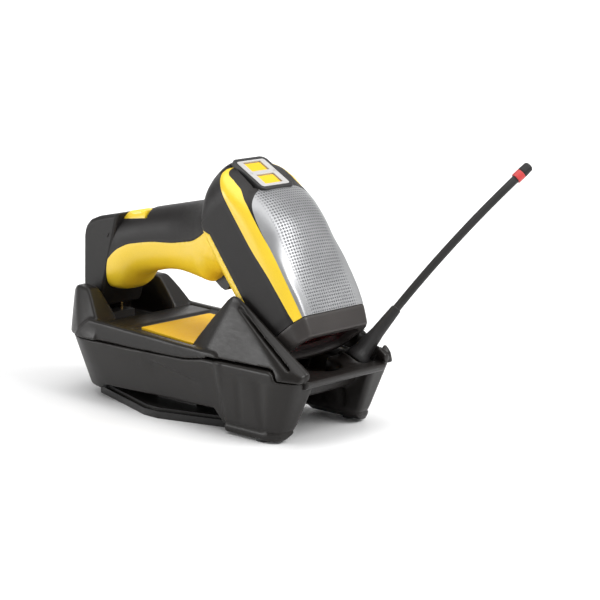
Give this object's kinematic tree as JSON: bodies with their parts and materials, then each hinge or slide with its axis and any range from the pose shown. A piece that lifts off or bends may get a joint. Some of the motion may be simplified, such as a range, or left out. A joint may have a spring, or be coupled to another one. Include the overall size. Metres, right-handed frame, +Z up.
{
  "type": "cordless barcode scanner with radio charging cradle",
  "caption": "Cordless pistol-grip barcode scanner, docked nose-down in a radio charging cradle with a whip antenna and a screw-down bracket.",
  "frame": {"origin": "centre of the mounting bracket's four screw holes, on its underside, which lies on the desk", "axes": "+X towards the nose end of the cradle, +Z up, +Y to the cradle's left (the antenna's side)"},
  "size_m": [0.2827, 0.2071, 0.1818],
  "materials": {
    "cradle_plastic": "fine-textured moulding",
    "black_plastic": "satin moulding",
    "bezel_plastic": "fine-textured moulding",
    "overmould": "soft satin overmould",
    "yellow_plastic": "satin-gloss moulding",
    "label_yellow": "printed plate",
    "silver_plastic": "knurled satin-silver moulding",
    "frame_silver": "smooth silver moulding",
    "key_yellow": "soft key",
    "light_green": "light guide",
    "foot_rubber": "plain",
    "antenna_rubber": "satin sleeve",
    "band_red": "plain ring",
    "steel": "zinc-plated",
    "contact_gold": "gold-plated",
    "board_green": "solder mask",
    "module_shield": "tinned can",
    "window_red": "clear red window",
    "lens_clear": "polished",
    "battery_wrap": "shrink sleeve"
  },
  "bodies": {
    "cradle": {"cradle_lower_shell": "cradle_plastic", "cradle_upper_shell": "cradle_plastic", "label_plate": "label_yellow", "status_lights": "light_green", "cradle_board": "board_green", "radio_module": "module_shield", "antenna_socket": "contact_gold", "contact_block": "black_plastic", "mounting_bracket": "cradle_plastic", "bracket_screws": "steel", "cradle_screws": "steel", "rubber_feet": "foot_rubber", "power_jack": "black_plastic", "data_port": "module_shield"},
    "antenna": {"antenna_boot": "antenna_rubber", "antenna_whip": "antenna_rubber", "antenna_band": "band_red", "antenna_tip": "antenna_rubber"},
    "scanner": {"head_housing": "yellow_plastic", "top_cover": "silver_plastic", "head_boot": "overmould", "nose_bezel": "bezel_plastic", "window_seal": "overmould", "scan_window": "window_red", "keypad_rim": "black_plastic", "keypad_frame": "frame_silver", "keypad_screws": "steel", "handle_front": "yellow_plastic", "handle_back": "overmould", "battery_cap": "black_plastic", "battery_pack": "battery_wrap", "battery_contacts": "contact_gold", "charge_pads": "contact_gold", "trigger_pin": "steel", "trigger_spring": "steel", "trigger_switch": "black_plastic", "engine_frame": "black_plastic", "engine_lens": "lens_clear", "main_board": "board_green", "link_board": "board_green", "beeper": "black_plastic", "housing_screws": "steel"},
    "trigger": {"trigger": "black_plastic"},
    "key_rear": {"key_rear": "key_yellow"},
    "key_front": {"key_front": "key_yellow"},
    "battery_latch": {"battery_latch": "yellow_plastic"},
    "contact_pin_left": {"contact_pin_left": "contact_gold"},
    "contact_pin_right": {"contact_pin_right": "contact_gold"}
  },
  "joints": [
    {"name": "scanner_lift", "type": "slide", "parent": "cradle", "child": "scanner", "axis": [0, 0, 1], "range_m": [0, 0.12]},
    {"name": "antenna_turn", "type": "hinge", "parent": "cradle", "child": "antenna", "pos_m": [0.1139, 0.0303, 0.045], "axis": [0.2723, 0.6132, 0.7415], "continuous": true},
    {"name": "trigger_pull", "type": "hinge", "parent": "scanner", "child": "trigger", "pos_m": [0.025, 0, 0.109], "axis": [0, 1, 0], "range_deg": [0, 9], "stiffness_Nm_per_rad": 0.25, "springref_deg": -20.05, "deforming": ["trigger_spring"]},
    {"name": "key_rear_press", "type": "slide", "parent": "scanner", "child": "key_rear", "axis": [-0.4848, 0, -0.8746], "range_m": [0, 0.0008], "stiffness_N_per_m": 1500, "springref_m": -0.0008},
    {"name": "key_front_press", "type": "slide", "parent": "scanner", "child": "key_front", "axis": [-0.4848, 0, -0.8746], "range_m": [0, 0.0008], "stiffness_N_per_m": 1500, "springref_m": -0.0008},
    {"name": "latch_slide", "type": "slide", "parent": "scanner", "child": "battery_latch", "axis": [0.9781, 0, 0.2079], "range_m": [0, 0.0025], "stiffness_N_per_m": 900, "springref_m": -0.002},
    {"name": "contact_left_press", "type": "slide", "parent": "cradle", "child": "contact_pin_left", "axis": [0, 0, -1], "range_m": [0, 0.0015], "stiffness_N_per_m": 600, "springref_m": -0.001},
    {"name": "contact_right_press", "type": "slide", "parent": "cradle", "child": "contact_pin_right", "axis": [0, 0, -1], "range_m": [0, 0.0015], "stiffness_N_per_m": 600, "springref_m": -0.001}
  ]
}
